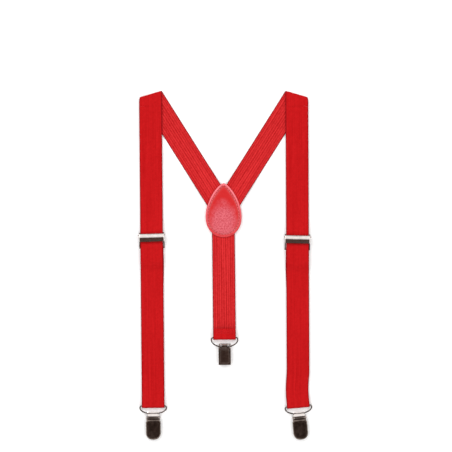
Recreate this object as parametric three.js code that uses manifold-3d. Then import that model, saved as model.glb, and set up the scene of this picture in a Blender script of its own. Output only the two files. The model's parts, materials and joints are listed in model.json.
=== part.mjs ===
// A child's clip-on suspenders with a Y back, laid flat on a table with the two
// front straps folded over at the shoulders so that they lie on the back straps.
// Millimetres. +X is to the right, +Y towards the shoulders, +Z up off the table.
// Left and right mean the -X and the +X side.
import * as THREE from 'three';
import { mergeVertices } from 'three/addons/utils/BufferGeometryUtils.js';
import Module from 'manifold-3d';

const wasm = await Module();
wasm.setup();

// ---- driving dimensions ----------------------------------------------------

const GAP = 0.3;
const ARC_SIDES = 8;
const WIRE_SIDES = 8;

const WEBBING_WIDTH = 25;
const WEBBING_THICK = 1.2;

// where the straps meet in the patch, and where each folds over at the shoulder
const YOKE = new THREE.Vector2(0, -31);
const SHOULDER = new THREE.Vector2(80.5, 96.8);

const FRONT_LENGTH = 341.4;     // from the shoulder crease to the loop's straight bar
const BACK_END = 169.6;         // from the patch's point down to the back loop's bar
const BACK_LEAN = 0.6;          // degrees

// how each front strap happens to lie: degrees anticlockwise, distances in mm
const LEFT_LIE = { lean: 0.52, endTurn: 0, adjusterAt: 153.8, adjusterTurn: 1.8 };
const RIGHT_LIE = { lean: 0.25, endTurn: 5, adjusterAt: 155.7, adjusterTurn: -1.2 };

const PATCH = { halfWidth: 19.8, widestAt: -37, bottomAt: -59.5, thick: 1.2, blunt: 6 };
const PATCH_GAP_Z = PATCH.thick + GAP;                    // where the straps lie in it
const MITRE_AT = -40;                                     // the back straps end here
const RAMP = { from: 34, to: 62 };                        // where they come down to the table

const WIRE_RADIUS = 0.7;
const FRONT_WIRE_Z = 2.5;
const FOLD_INNER = WIRE_RADIUS + GAP;
const FOLD_OUTER = FOLD_INNER + WEBBING_THICK;
const BACK_WIRE_Z = PATCH_GAP_Z + FOLD_OUTER;
const FOLD_LEG = 2;
const HEM_LEG = 10.2;
const LOOP = { halfWidth: 14.5, widestAt: -2.2, frontDepth: 8.6, backDepth: 10.4, buttGap: 0.3 };
const LOOP_BAR = [4, 8, 11.5, 13];                        // the bar is straight as far as this

const TAIL_Z = FRONT_WIRE_Z - FOLD_OUTER;                 // underside of the tail
const SHOULDER_Z = WEBBING_THICK + 0.4;                   // underside of the front strap there
const OVER_TAIL_Z = TAIL_Z + WEBBING_THICK + GAP;
const STRAP_END_Z = FRONT_WIRE_Z + FOLD_INNER;

// adjuster: y is counted from its lever's pivot, downwards negative
const FRAME = { halfWidth: 14, rail: 1.2, top: 3, topBar: 2.2, bottom: -14.5, bottomBar: 1.4 };
const FRAME_Z = TAIL_Z + WEBBING_THICK + GAP;
const FRAME_THICK = 0.8;
const LEVER = { top: 2.2, bottom: -7, thick: 0.8, cam: 1.3, bore: 0.85, pin: 0.6, pinReach: 15 };
const CAM_STRAP_Z = FRAME_Z + FRAME_THICK + GAP;
const LEVER_PIVOT_Z = CAM_STRAP_Z + WEBBING_THICK + GAP + LEVER.cam;
const TAIL_LOOP_INNER = FRAME_THICK / 2 + GAP;
const TAIL_LOOP_OUTER = TAIL_LOOP_INNER + WEBBING_THICK;
const TAIL_FLAP = 12;
const OVER_FLAP_Z = FRAME_Z + FRAME_THICK / 2 + TAIL_LOOP_OUTER + GAP;

// clip: y is counted from the wire that it hangs on, z from the wire's centre
const SHEET = 0.8;
const HOOK = { inner: WIRE_RADIUS + 0.35, outer: 1.95, width: 6.4 };
const PIVOT = { y: -4.5, z: 0.9, pin: 0.7, bore: 0.95, reach: 8.4 };
const EAR = { inside: 6.9, outside: 7.7, from: -2.7, to: -6.4 };
const PLATE_Z = -2.5;
const NECK = { top: 0.2, wide: -1.6, ears: -3.7, extra: 0.2 };
const COVER = {
  halfWidth: 8.15, from: -6.6, underside: 1.9, skirt: -0.4, roll: 0.8, rollZ: 2.4,
  chamfer: 1.6, roundFrom: 7.5,
};
const LUG = { at: 6.1, radius: 1.6, from: -10, low: 0.5, high: 2.2 };
const MOUTH = { half: 6.6, from: -8.6, high: 1.4 };       // the cover's open upper end
const JAW = { halfWidth: 5.3, z: 0.6, thick: 0.6, barrel: 1.45, from: -5.6 };
const PAD = { length: 6, thick: 0.8, fromTip: 0.5, gap: 0.2 };
// narrow is how much nearer the middle each half's pieces are than on the front clips
const FRONT_CLIP = {
  plateHalf: 6.5, plateTop: -3, plateLength: 26.5, coverLength: 28.3, jawLength: 23.5,
  narrow: 0, oval: true,
};
const BACK_CLIP = {
  plateHalf: 6.75, plateTop: -1.2, plateLength: 19.4, coverLength: 18.6, jawLength: 16.5,
  narrow: 1.45, oval: false,
};
const EMBOSS = { half: 4.8, from: -5, depth: 0.3, margin: 2 };

const half = WEBBING_WIDTH / 2;
const strapAngle = Math.atan2(SHOULDER.x, SHOULDER.y - YOKE.y);
const strapLength = Math.hypot(SHOULDER.x, SHOULDER.y - YOKE.y);
const radians = THREE.MathUtils.degToRad;

// ---- materials -------------------------------------------------------------

function finish(colour, roughness, metalness) {
  return new THREE.MeshStandardMaterial({ color: colour, roughness, metalness });
}

const webbing = finish('#cc1a1e', 0.85, 0);
const leather = finish('#e2404a', 0.45, 0);
const nickel = finish('#c9c6c2', 0.2, 1);
const darkNickel = finish('#6b625d', 0.15, 1);
const rubber = finish('#f0ede6', 0.8, 0);

// ---- shape helpers ---------------------------------------------------------

function solid(geometry) {
  const bare = geometry.clone();
  bare.deleteAttribute('normal');
  bare.deleteAttribute('uv');
  const merged = mergeVertices(bare, 1e-4);
  return new wasm.Manifold(new wasm.Mesh({
    numProp: 3,
    vertProperties: new Float32Array(merged.attributes.position.array),
    triVerts: new Uint32Array(merged.index.array),
  }));
}

function geometryOf(manifold) {
  const mesh = manifold.getMesh();
  const geometry = new THREE.BufferGeometry();
  geometry.setAttribute('position', new THREE.BufferAttribute(mesh.vertProperties, 3));
  geometry.setIndex(new THREE.BufferAttribute(mesh.triVerts, 1));
  geometry.computeVertexNormals();
  return geometry;
}

// adds the first list of solids together and cuts the second list away
function carve(added, removed = []) {
  let result = solid(added[0]);
  for (const geometry of added.slice(1)) {
    result = result.add(solid(geometry));
  }
  for (const geometry of removed) {
    result = result.subtract(solid(geometry));
  }
  return geometryOf(result);
}

function block(x, y, z) {
  const geometry = new THREE.BoxGeometry(x[1] - x[0], y[1] - y[0], z[1] - z[0]);
  geometry.translate((x[0] + x[1]) / 2, (y[0] + y[1]) / 2, (z[0] + z[1]) / 2);
  return geometry;
}

// an outline seen from above, made thick from z upwards
function plate(outline, z, thick) {
  const geometry = new THREE.ExtrudeGeometry(outline, {
    depth: thick, bevelEnabled: false, curveSegments: ARC_SIDES,
  });
  geometry.translate(0, 0, z);
  return geometry;
}

// an outline seen from the side, x for y and y for z, made wide across X
function across(outline, width) {
  const geometry = new THREE.ExtrudeGeometry(outline, {
    depth: width, bevelEnabled: false, curveSegments: ARC_SIDES,
  });
  geometry.translate(0, 0, -width / 2);
  const toSide = new THREE.Matrix4().makeBasis(
    new THREE.Vector3(0, 1, 0),
    new THREE.Vector3(0, 0, 1),
    new THREE.Vector3(1, 0, 0),
  );
  return geometry.applyMatrix4(toSide);
}

function rod(radius, length, y = 0, z = 0, sides = ARC_SIDES) {
  const geometry = new THREE.CylinderGeometry(radius, radius, length, sides);
  geometry.rotateZ(Math.PI / 2);
  geometry.translate(0, y, z);
  return geometry;
}

function polygon(points) {
  return new THREE.Shape(points.map(([x, y]) => new THREE.Vector2(x, y)));
}

// webbing that runs along +Y. A station is its place, its underside's height and
// its cut's slant, the rise along Y for each mm across
function band(stations) {
  const positions = [];
  for (const { y, z, slant = 0 } of stations) {
    const low = y - slant * half;
    const high = y + slant * half;
    const top = z + WEBBING_THICK;
    positions.push(half, high, z, -half, low, z, -half, low, top, half, high, top);
  }
  const index = [];
  const face = (a, b, c, d) => index.push(a, b, c, a, c, d);
  const last = 4 * (stations.length - 1);
  for (let ring = 0; ring < last; ring += 4) {
    for (let side = 0; side < 4; side++) {
      const next = (side + 1) % 4;
      face(ring + side, ring + next, ring + 4 + next, ring + 4 + side);
    }
  }
  face(3, 2, 1, 0);
  face(last, last + 1, last + 2, last + 3);
  const geometry = new THREE.BufferGeometry();
  geometry.setAttribute('position', new THREE.Float32BufferAttribute(positions, 3));
  geometry.setIndex(index);
  geometry.computeVertexNormals();
  return geometry;
}

// webbing turned back round a bar: it bulges towards -Y, and its legs run to +Y
function turnBack(inner, outer, lowerLeg, upperLeg) {
  const outline = new THREE.Shape();
  outline.moveTo(lowerLeg, -outer);
  outline.lineTo(0, -outer);
  outline.absarc(0, 0, outer, -Math.PI / 2, -1.5 * Math.PI, true);
  outline.lineTo(upperLeg, outer);
  outline.lineTo(upperLeg, inner);
  outline.lineTo(0, inner);
  outline.absarc(0, 0, inner, Math.PI / 2, 1.5 * Math.PI, false);
  outline.lineTo(lowerLeg, -inner);
  return across(outline, WEBBING_WIDTH);
}

function named(name, geometry, material) {
  const mesh = new THREE.Mesh(geometry, material.clone());
  mesh.name = name;
  return mesh;
}

function groupAt(x, y, z, turn = 0) {
  const group = new THREE.Group();
  group.position.set(x, y, z);
  group.rotation.z = radians(turn);
  return group;
}

// ---- the leather patch and the straps sewn into it -------------------------

// a teardrop with a blunt point at the top and a round bottom
function teardrop() {
  const { halfWidth, widestAt, bottomAt } = PATCH;
  const drop = widestAt - bottomAt;
  const { blunt } = PATCH;
  const sideFrom = widestAt / 2;
  const outline = new THREE.Shape();
  outline.moveTo(0, 0);
  outline.bezierCurveTo(-blunt, 0, -halfWidth, sideFrom, -halfWidth, widestAt);
  outline.bezierCurveTo(-halfWidth, widestAt - 0.6 * drop, -0.55 * halfWidth, bottomAt, 0, bottomAt);
  outline.bezierCurveTo(0.55 * halfWidth, bottomAt, halfWidth, widestAt - 0.6 * drop, halfWidth, widestAt);
  outline.bezierCurveTo(halfWidth, sideFrom, blunt, 0, 0, 0);
  return outline;
}

function patch() {
  const group = new THREE.Group();
  const innerZ = PATCH_GAP_Z + WEBBING_THICK + GAP;
  group.add(named('patch_outer_leather', plate(teardrop(), 0, PATCH.thick), leather));
  group.add(named('patch_inner_leather', plate(teardrop(), innerZ, PATCH.thick), leather));
  return group;
}

// one back strap, from the middle of the patch to the shoulder crease
function shoulderStrap(side, name) {
  const creaseSlant = side * Math.tan(strapAngle / 2);
  const straight = band([
    { y: -20, z: PATCH_GAP_Z },
    { y: RAMP.from, z: PATCH_GAP_Z },
    { y: RAMP.to, z: 0 },
    { y: strapLength - GAP, z: 0, slant: creaseSlant },
  ]);
  straight.rotateZ(-side * strapAngle);
  straight.translate(YOKE.x, YOKE.y, 0);
  const otherSide = side < 0 ? [-GAP / 2, 60] : [-60, GAP / 2];
  const beyondMiddle = block(otherSide, [-99, 99], [-5, 9]);
  const belowMitre = block([-99, 99], [-99, MITRE_AT], [-5, 9]);
  return named(name, carve([straight], [beyondMiddle, belowMitre]), webbing);
}

// the strap's turn over itself at the shoulder, along a slanted crease
function shoulderFold(side, name) {
  const inner = (SHOULDER_Z - WEBBING_THICK) / 2;
  const length = WEBBING_WIDTH / Math.cos(strapAngle / 2);
  const ring = new THREE.Shape();
  ring.absarc(0, 0, inner + WEBBING_THICK, -Math.PI / 2, Math.PI / 2, false);
  ring.absarc(0, 0, inner, Math.PI / 2, -Math.PI / 2, true);
  const fold = named(name, across(ring, length), webbing);
  fold.position.set(side * SHOULDER.x, SHOULDER.y, WEBBING_THICK + inner);
  fold.rotation.z = -side * strapAngle / 2;
  return fold;
}

// ---- loop and clip, which hang on a strap's end ----------------------------

// a D of wire whose straight bar lies along X at the origin, with a butt joint in it
function wireLoop(name, depth) {
  const bar = [LOOP.buttGap / 2, ...LOOP_BAR].map((x) => new THREE.Vector3(x, 0, 0));
  const points = [...bar];
  const bow = depth + LOOP.widestAt;
  for (let angle = 4; angle <= 176; angle += 10.75) {
    const x = LOOP.halfWidth * Math.cos(radians(angle));
    points.push(new THREE.Vector3(x, LOOP.widestAt - bow * Math.sin(radians(angle)), 0));
  }
  points.push(...bar.reverse().map(({ x }) => new THREE.Vector3(-x, 0, 0)));
  const section = new THREE.Shape();
  section.absarc(0, 0, WIRE_RADIUS, 0, 2 * Math.PI, false);
  const geometry = new THREE.ExtrudeGeometry(section, {
    extrudePath: new THREE.CatmullRomCurve3(points, false, 'centripetal'),
    steps: 36,
    curveSegments: WIRE_SIDES,
  });
  return named(name, geometry, nickel);
}

// the end of the plate's tab, rolled over the wire and back towards the plate
function hookRoll() {
  const outline = new THREE.Shape();
  outline.absarc(0, 0, HOOK.outer, radians(-100), radians(205), false);
  outline.absarc(0, 0, HOOK.inner, radians(205), radians(-100), true);
  return across(outline, HOOK.width);
}

function basePlate(name, spec) {
  const top = PLATE_Z + SHEET;
  const corner = spec.oval ? 4 : 1;
  const { plateHalf: w, plateTop, plateLength: end } = spec;
  const outline = polygon([
    [-w, plateTop], [-w, -end + corner], [-w + corner, -end],
    [w - corner, -end], [w, -end + corner], [w, plateTop],
  ]);
  const hookHalf = HOOK.width / 2;
  const earOut = EAR.outside - spec.narrow;
  const earMiddle = (EAR.outside + EAR.inside) / 2 - spec.narrow;
  const neck = polygon([
    [-hookHalf, NECK.top], [-hookHalf, NECK.wide], [-earOut, NECK.ears],
    [earOut, NECK.ears], [hookHalf, NECK.wide], [hookHalf, NECK.top],
  ]);
  const earSide = new THREE.Shape();
  earSide.moveTo(EAR.from, PLATE_Z);
  earSide.absarc(PIVOT.y, PIVOT.z, EAR.from - PIVOT.y, 0, Math.PI, false);
  earSide.lineTo(EAR.to, PLATE_Z);
  const ears = [-1, 1].map((side) => {
    const ear = across(earSide, EAR.outside - EAR.inside);
    return ear.translate(side * earMiddle, 0, 0);
  });
  const added = [
    plate(outline, PLATE_Z, SHEET),
    plate(neck, PLATE_Z, SHEET + NECK.extra),
    block([-earOut, earOut], [EAR.to, NECK.ears + 0.4], [PLATE_Z, top]),
    hookRoll(),
    ...ears,
  ];
  if (!spec.oval) {
    const length = [-end + EMBOSS.margin, EMBOSS.from];
    const raised = [PLATE_Z - EMBOSS.depth, PLATE_Z + SHEET / 2];
    added.push(block([-EMBOSS.half, EMBOSS.half], length, raised));
  }
  const bore = rod(PIVOT.bore, 3 * EAR.outside, PIVOT.y, PIVOT.z);
  return named(name, carve(added, [bore]), darkNickel);
}

// the cover's outline, drawn a little smaller for the pocket underneath
function coverOutline(spec, inset) {
  const w = COVER.halfWidth - spec.narrow - inset;
  const top = COVER.from - inset;
  const end = -spec.coverLength + inset;
  const { chamfer, roundFrom } = COVER;
  const outline = new THREE.Shape();
  outline.moveTo(-w + chamfer, top);
  outline.lineTo(-w, top - chamfer);
  if (spec.oval) {
    outline.lineTo(-w, end + roundFrom);
    outline.bezierCurveTo(-w, end + 0.4 * roundFrom, -0.45 * w, end, 0, end);
    outline.bezierCurveTo(0.45 * w, end, w, end + 0.4 * roundFrom, w, end + roundFrom);
  } else {
    outline.lineTo(-w, end + chamfer);
    outline.lineTo(-w + chamfer, end);
    outline.lineTo(w - chamfer, end);
    outline.lineTo(w, end + chamfer);
  }
  outline.lineTo(w, top - chamfer);
  outline.lineTo(w - chamfer, top);
  return outline;
}

// a pressed shell with a rolled upper edge, hung on two lugs
function coverLever(name, spec) {
  const top = COVER.underside + SHEET;
  const rollLength = 2 * (COVER.halfWidth - spec.narrow - 1);
  const added = [
    plate(coverOutline(spec, 0), COVER.skirt, top - COVER.skirt),
    rod(COVER.roll, rollLength, COVER.from, COVER.rollZ),
  ];
  const pocketDepth = COVER.underside - COVER.skirt + 1;
  const pocket = plate(coverOutline(spec, SHEET), COVER.skirt - 1, pocketDepth);
  const mouthHalf = MOUTH.half - spec.narrow;
  const mouth = block([-mouthHalf, mouthHalf], [MOUTH.from, 0], [COVER.skirt - 1, MOUTH.high]);
  const shell = carve(added, [pocket, mouth]);
  const lugs = [];
  for (const side of [-1, 1]) {
    const x = side * (LUG.at - spec.narrow);
    lugs.push(rod(LUG.radius, SHEET, PIVOT.y, PIVOT.z).translate(x, 0, 0));
    lugs.push(block([x - SHEET / 2, x + SHEET / 2], [LUG.from, PIVOT.y], [LUG.low, LUG.high]));
  }
  const bore = rod(PIVOT.bore, 3 * EAR.outside, PIVOT.y, PIVOT.z);
  return named(name, carve([shell, ...lugs], [bore]), darkNickel);
}

function springJaw(name, spec) {
  const w = JAW.halfWidth - spec.narrow;
  const leaf = block([-w, w], [-spec.jawLength, JAW.from], [JAW.z, JAW.z + JAW.thick]);
  const barrel = rod(JAW.barrel, 2 * w, PIVOT.y, PIVOT.z);
  const bore = rod(PIVOT.bore, 3 * JAW.halfWidth, PIVOT.y, PIVOT.z);
  return named(name, carve([leaf, barrel], [bore]), nickel);
}

function pad(name, spec, z) {
  const end = -spec.jawLength + PAD.fromTip;
  const w = JAW.halfWidth - spec.narrow;
  return named(name, block([-w, w], [end, end + PAD.length], [z, z + PAD.thick]), rubber);
}

function clip(prefix, spec) {
  const group = new THREE.Group();
  group.add(basePlate(`${prefix}_clip_base_plate`, spec));
  group.add(coverLever(`${prefix}_clip_cover_lever`, spec));
  group.add(springJaw(`${prefix}_clip_spring_jaw`, spec));
  const pinRod = rod(PIVOT.pin, 2 * (PIVOT.reach - spec.narrow));
  const pin = named(`${prefix}_clip_pivot_pin`, pinRod, nickel);
  pin.position.set(0, PIVOT.y, PIVOT.z);
  group.add(pin);
  group.add(pad(`${prefix}_clip_base_pad`, spec, PLATE_Z + SHEET + PAD.gap));
  group.add(pad(`${prefix}_clip_jaw_pad`, spec, JAW.z - PAD.gap - PAD.thick));
  return group;
}

// ---- adjuster: a frame on the strap's tail, and a lever that grips the strap ----

function adjusterFrame(name) {
  const { halfWidth: w, rail, top, topBar, bottom, bottomBar } = FRAME;
  const z = [FRAME_Z, FRAME_Z + FRAME_THICK];
  const outside = block([-w, w], [bottom, top], z);
  const opening = block([-w + rail, w - rail], [bottom + bottomBar, top - topBar], [-1, 9]);
  const ears = [-1, 1].map((side) => {
    const ear = new THREE.Shape();
    ear.moveTo(1.2, FRAME_Z);
    ear.absarc(0, LEVER_PIVOT_Z, 1.2, 0, Math.PI, false);
    ear.lineTo(-1.2, FRAME_Z);
    return across(ear, rail).translate(side * (w - rail / 2), 0, 0);
  });
  const bore = rod(LEVER.bore, 4 * w, 0, LEVER_PIVOT_Z);
  return named(name, carve([outside, ...ears], [opening, bore]), nickel);
}

// the plate is humped along its upper part and flat along its lower part
function adjusterLever(name) {
  const z = LEVER_PIVOT_Z;
  const t = LEVER.thick;
  const hump = new THREE.Shape();
  hump.moveTo(LEVER.top, z + 1.4);
  hump.quadraticCurveTo(LEVER.top - 0.2, z + 2.5, 0, z + 2.6);
  hump.quadraticCurveTo(-2, z + 2.6, -2.8, z + 1.7 + t - 0.4);
  hump.lineTo(LEVER.bottom, z + 1.2 + t - 0.4);
  hump.lineTo(LEVER.bottom, z + 1.2 - 0.4);
  hump.lineTo(-2.8, z + 1.4);
  const reach = 2 * (FRAME.halfWidth - FRAME.rail - 0.5);
  const barrel = rod(LEVER.cam, reach, 0, z);
  const web = block([-reach / 2, reach / 2], [-1, 1], [z, z + 1.8]);
  const bore = rod(LEVER.bore, 2 * reach, 0, z);
  return named(name, carve([across(hump, 2 * FRAME.halfWidth), barrel, web], [bore]), nickel);
}

// the strap's tail goes round the frame's lower bar and is sewn back on itself
function tailLoop(name) {
  const loop = named(name, turnBack(TAIL_LOOP_INNER, TAIL_LOOP_OUTER, FOLD_LEG, TAIL_FLAP), webbing);
  loop.rotation.z = Math.PI;
  loop.position.set(0, FRAME.bottom + FRAME.bottomBar + 0.1, FRAME_Z + FRAME_THICK / 2);
  return loop;
}

function adjuster(prefix, lie) {
  const group = groupAt(0, -lie.adjusterAt, 0, lie.adjusterTurn - lie.lean);
  group.add(adjusterFrame(`${prefix}_adjuster_frame`));
  group.add(adjusterLever(`${prefix}_adjuster_lever`));
  const pin = named(`${prefix}_adjuster_pivot_pin`, rod(LEVER.pin, 2 * LEVER.pinReach), nickel);
  pin.position.z = LEVER_PIVOT_Z;
  group.add(pin);
  group.add(tailLoop(`${prefix}_tail_end_loop`));
  return group;
}

// ---- one front strap with its adjuster, loop and clip ----------------------

function frontStrap(side, name, lie) {
  const end = -FRONT_LENGTH + FOLD_LEG + 2;
  const at = -lie.adjusterAt;
  const flapEnd = at + FRAME.bottom - TAIL_FLAP;
  return named(name, band([
    { y: end, z: STRAP_END_Z },
    { y: end + 16, z: OVER_TAIL_Z },
    { y: flapEnd - 14, z: OVER_TAIL_Z },
    { y: flapEnd - 1, z: OVER_FLAP_Z },
    { y: at + FRAME.bottom + 4, z: OVER_FLAP_Z },
    { y: at - 2, z: CAM_STRAP_Z },
    { y: at + 5, z: CAM_STRAP_Z },
    { y: at + 25, z: SHOULDER_Z },
    { y: -GAP, z: SHOULDER_Z, slant: -side * Math.tan(strapAngle / 2) },
  ]), webbing);
}

function tailStrap(name, lie) {
  const end = -FRONT_LENGTH + FOLD_LEG + 2;
  const top = -lie.adjusterAt + FRAME.bottom - 4;
  return named(name, band([{ y: end, z: TAIL_Z }, { y: top, z: TAIL_Z }]), webbing);
}

function front(side, prefix, lie) {
  const group = groupAt(side * SHOULDER.x, SHOULDER.y, 0, lie.lean);
  group.add(frontStrap(side, `${prefix}_front_strap`, lie));
  group.add(tailStrap(`${prefix}_tail_strap`, lie));
  group.add(adjuster(prefix, lie));

  const end = groupAt(0, -FRONT_LENGTH, FRONT_WIRE_Z, lie.endTurn);
  const fold = turnBack(FOLD_INNER, FOLD_OUTER, FOLD_LEG, FOLD_LEG);
  end.add(named(`${prefix}_strap_end_fold`, fold, webbing));
  end.add(wireLoop(`${prefix}_wire_loop`, LOOP.frontDepth));
  const hanging = clip(prefix, FRONT_CLIP);
  hanging.position.y = -LOOP.frontDepth;
  end.add(hanging);
  group.add(end);
  return group;
}

// ---- the back strap, whose clip lies face down ------------------------------

function back() {
  const group = groupAt(-0.8, 0, 0, BACK_LEAN);
  const strapEnd = -BACK_END + FOLD_LEG + GAP;
  group.add(named('back_strap', band([
    { y: strapEnd, z: PATCH_GAP_Z },
    { y: MITRE_AT - 1, z: PATCH_GAP_Z },
  ]), webbing));

  const end = groupAt(0, -BACK_END, BACK_WIRE_Z);
  const hem = turnBack(FOLD_INNER, FOLD_OUTER, FOLD_LEG, HEM_LEG);
  end.add(named('back_strap_hem', hem, webbing));
  end.add(wireLoop('back_wire_loop', LOOP.backDepth));
  const hanging = clip('back', BACK_CLIP);
  hanging.position.y = -LOOP.backDepth;
  hanging.rotation.y = Math.PI;
  end.add(hanging);
  group.add(end);
  return group;
}

// ---- the whole, centred over the origin ------------------------------------

const suspenders = new THREE.Group();
suspenders.add(patch());
suspenders.add(shoulderStrap(-1, 'left_back_strap'));
suspenders.add(shoulderStrap(1, 'right_back_strap'));
suspenders.add(shoulderFold(-1, 'left_shoulder_fold'));
suspenders.add(shoulderFold(1, 'right_shoulder_fold'));
suspenders.add(front(-1, 'left', LEFT_LIE));
suspenders.add(front(1, 'right', RIGHT_LIE));
suspenders.add(back());

const box = new THREE.Box3().setFromObject(suspenders, true);
const middle = box.getCenter(new THREE.Vector3());
suspenders.position.set(-middle.x, -middle.y, -box.min.z);

export default suspenders;
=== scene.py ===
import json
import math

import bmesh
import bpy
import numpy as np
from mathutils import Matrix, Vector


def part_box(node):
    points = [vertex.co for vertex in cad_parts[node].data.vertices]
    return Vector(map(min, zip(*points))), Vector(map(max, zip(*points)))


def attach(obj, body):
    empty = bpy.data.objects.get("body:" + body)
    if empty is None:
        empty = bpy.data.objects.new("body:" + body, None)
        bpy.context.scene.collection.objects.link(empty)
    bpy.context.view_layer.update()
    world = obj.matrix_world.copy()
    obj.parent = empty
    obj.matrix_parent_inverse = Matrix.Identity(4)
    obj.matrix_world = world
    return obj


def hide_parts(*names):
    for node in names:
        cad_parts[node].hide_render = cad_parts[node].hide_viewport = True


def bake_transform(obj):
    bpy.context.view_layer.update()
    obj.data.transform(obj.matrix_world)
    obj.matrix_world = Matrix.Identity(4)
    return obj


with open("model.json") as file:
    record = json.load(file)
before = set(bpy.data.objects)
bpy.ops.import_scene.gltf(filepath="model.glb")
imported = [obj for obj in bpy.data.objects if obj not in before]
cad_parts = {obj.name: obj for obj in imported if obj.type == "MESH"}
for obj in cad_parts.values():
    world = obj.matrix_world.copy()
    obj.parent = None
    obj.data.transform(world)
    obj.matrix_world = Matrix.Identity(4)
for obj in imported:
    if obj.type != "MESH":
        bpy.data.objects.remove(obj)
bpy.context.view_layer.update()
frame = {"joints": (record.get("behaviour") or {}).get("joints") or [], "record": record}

# %% [markdown]
# # Red clip-on suspenders, laid flat
# The suspenders are a Y of red elastic webbing on a leather patch. Each front strap is
# folded over at the shoulder and lies on the back strap, so the front shows the
# webbing's smooth outer face and the back straps show its ribbed inner face.
# Everything is measured in millimetres here and turned to metres as it goes into a mesh.

MM = 0.001
joints = {joint["name"]: joint for joint in frame["joints"]}


def place(joint_name):
    """A joint's point, in millimetres."""
    return np.array(joints[joint_name]["pos_m"]) / MM


def direction(joint_name):
    """A joint's axis, as a unit vector."""
    return np.array(joints[joint_name]["axis"], float)


def corners(node):
    """A CAD node's lowest and highest corner, in millimetres."""
    low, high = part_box(node)
    return np.array(low) / MM, np.array(high) / MM


UP = np.array([0.0, 0.0, 1.0])
WEBBING_WIDTH = 25.0
WEBBING_THICK = 1.2
TABLE_MID = WEBBING_THICK / 2          # the middle of webbing that lies on the table

patch_low, patch_high = corners("patch_inner_leather")
outer_high = corners("patch_outer_leather")[1]
patch_x = (patch_low[0] + patch_high[0]) / 2
patch_top = patch_high[1]
YOKE = np.array([patch_x, patch_top - 31.0])
print("patch", patch_low.round(1), patch_high.round(1))

# %% [markdown]
# ## Camera first
# The suspenders are seen from straight above, so a long lens looks down from high up.
# A long lens keeps the straps' edges parallel, as they are on a flat lay.

# %% Camera
VIEW_WIDTH = 497.2                     # millimetres of table across the view
CAMERA_HEIGHT = 2400.0                 # above the table
AIM = (1.0, 43.0)                      # the view's middle, right of and above the object's own

camera_data = bpy.data.cameras.new("camera")
camera_data.sensor_width = 36.0
camera_data.lens = camera_data.sensor_width * CAMERA_HEIGHT / VIEW_WIDTH
camera_data.clip_start, camera_data.clip_end = 0.1, 20.0
camera = bpy.data.objects.new("camera", camera_data)
bpy.context.scene.collection.objects.link(camera)
camera.location = (AIM[0] * MM, AIM[1] * MM, CAMERA_HEIGHT * MM)
bpy.context.scene.camera = camera
print("lens", round(camera_data.lens, 1), "mm")

# %% [markdown]
# ## Light
# Polished nickel shows whatever is round it. A studio's softboxes make a bright ring,
# with the dark ceiling and camera straight above and the dark room at table height, so
# flat faces look dark, sloping ones bright, and round wire dark with bright lines. The
# world is made that way, and the bright ring lights everything evenly.

# %% World, floor and lights
def linear(colour):
    """An sRGB hex colour as the linear RGBA that Blender's shaders take."""
    value = np.array([int(colour[k:k + 2], 16) for k in (1, 3, 5)]) / 255.0
    channels = np.where(value <= 0.04045, value / 12.92, ((value + 0.055) / 1.055) ** 2.4)
    return (*channels.tolist(), 1.0)


def feed(tree, socket, value):
    """Links another node's output to a socket, or sets it to a number or a colour."""
    if isinstance(value, bpy.types.NodeSocket):
        tree.links.new(value, socket)
    else:
        socket.default_value = value


def node(tree, kind, inputs=None, **attributes):
    """Adds a node to a node tree: attributes are its own, and inputs say what feeds
    each of its sockets."""
    made = tree.nodes.new(kind)
    for name, value in attributes.items():
        setattr(made, name, value)
    for name, value in (inputs or {}).items():
        feed(tree, made.inputs[name], value)
    return made


def ramp(tree, source, *stops):
    """A colour ramp's output. Each stop is a (position, colour), from low to high."""
    made = node(tree, "ShaderNodeValToRGB", {0: source})
    held = made.color_ramp.elements
    for number, (position, colour) in enumerate(stops):
        stop = held[number] if number < 2 else held.new(position)
        stop.position, stop.color = position, colour
    return made.outputs[0]


def new_material(name):
    """An empty material and its node tree."""
    material = bpy.data.materials.new(name)
    material.use_nodes = True
    material.node_tree.nodes.clear()
    return material, material.node_tree


def finished(material, colour, roughness, specular=0.5, metallic=0.0, relief=None):
    """Gives a material its shader. relief is (strength, depth in millimetres, height)."""
    tree = material.node_tree
    shader = node(tree, "ShaderNodeBsdfPrincipled", {
        "Base Color": colour, "Roughness": roughness, "Metallic": metallic,
        "Specular IOR Level": specular})
    if relief:
        strength, depth, height = relief
        bump = node(tree, "ShaderNodeBump", {
            "Strength": strength, "Distance": depth * MM, "Height": height})
        feed(tree, shader.inputs["Normal"], bump.outputs[0])
    node(tree, "ShaderNodeOutputMaterial", {"Surface": shader.outputs[0]})
    return material


ROOM, RING, CEILING = (0.08, 0.065, 0.06, 1), (1.0, 1.0, 1.0, 1), (0.06, 0.033, 0.026, 1)
SKY_STRENGTH = 1.55
BOX_SIZE = 1.0                         # a softbox's side, in metres

scene = bpy.context.scene
scene.view_settings.view_transform = "Standard"
scene.view_settings.look = "None"
world = bpy.data.worlds.new("studio")
scene.world = world
world.use_nodes = True
sky = world.node_tree
sky.nodes.clear()
towards = node(sky, "ShaderNodeTexCoord")
split = node(sky, "ShaderNodeSeparateXYZ", {0: towards.outputs["Generated"]})
dome = ramp(sky, split.outputs["Z"], (0.42, ROOM), (0.54, RING), (0.945, RING),
            (0.975, CEILING))
glow = node(sky, "ShaderNodeBackground", {"Strength": SKY_STRENGTH, "Color": dome})
node(sky, "ShaderNodeOutputWorld", {0: glow.outputs[0]})


def softbox(name, watts, spot):
    """A square soft light that stands at spot, in metres, and faces the origin."""
    data = bpy.data.lights.new(name, "AREA")
    data.energy, data.size = watts, BOX_SIZE
    light = bpy.data.objects.new(name, data)
    scene.collection.objects.link(light)
    light.location = spot
    light.rotation_euler = (-Vector(spot)).to_track_quat("-Z", "Y").to_euler()


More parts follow.
